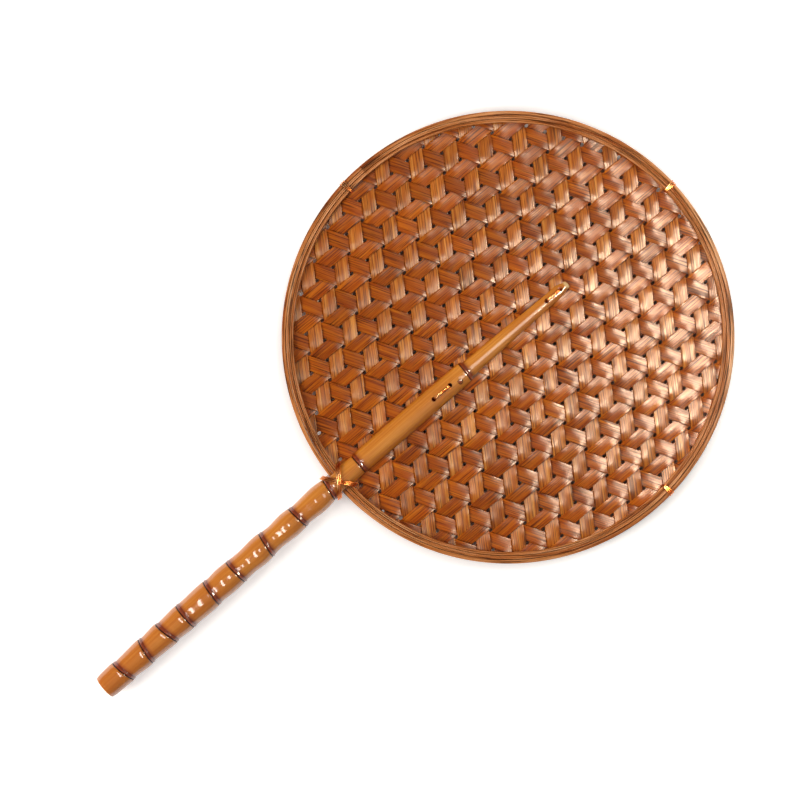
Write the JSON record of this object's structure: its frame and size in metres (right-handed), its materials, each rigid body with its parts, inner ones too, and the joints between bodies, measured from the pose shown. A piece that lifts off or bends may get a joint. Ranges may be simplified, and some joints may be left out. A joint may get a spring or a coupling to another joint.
{
  "type": "woven bamboo hand fan",
  "caption": "Flat round hand fan of densely woven split bamboo in a wire-tied hoop rim, with a knotty bamboo handle whose sawn tongues clasp both faces of the weave.",
  "frame": {"origin": "middle of the fan's bounding box, on the level of its underside, the fan lying flat on its back", "axes": "+Y runs along the handle from its sawn butt towards the disc, +Z stands up out of the front face, +X to the right of the disc"},
  "size_m": [0.2808, 0.4718, 0.0188],
  "materials": {
    "split_bamboo": "lacquered split bamboo, satin, with lengthwise fibres",
    "bamboo_hoop": "bent split bamboo, satin",
    "bamboo_culm": "lacquered bamboo culm, glossy",
    "copper_wire": "bright drawn copper-coloured wire"
  },
  "bodies": {
    "root": {"woven_panel": "split_bamboo", "front_inner_hoop": "bamboo_hoop", "front_outer_hoop": "bamboo_hoop", "back_inner_hoop": "bamboo_hoop", "back_outer_hoop": "bamboo_hoop", "outer_hoop": "bamboo_hoop", "handle": "bamboo_culm", "right_tie": "copper_wire", "top_tie": "copper_wire", "left_tie": "copper_wire", "handle_binding": "copper_wire", "lower_stitch": "copper_wire", "upper_stitch": "copper_wire"}
  },
  "joints": []
}
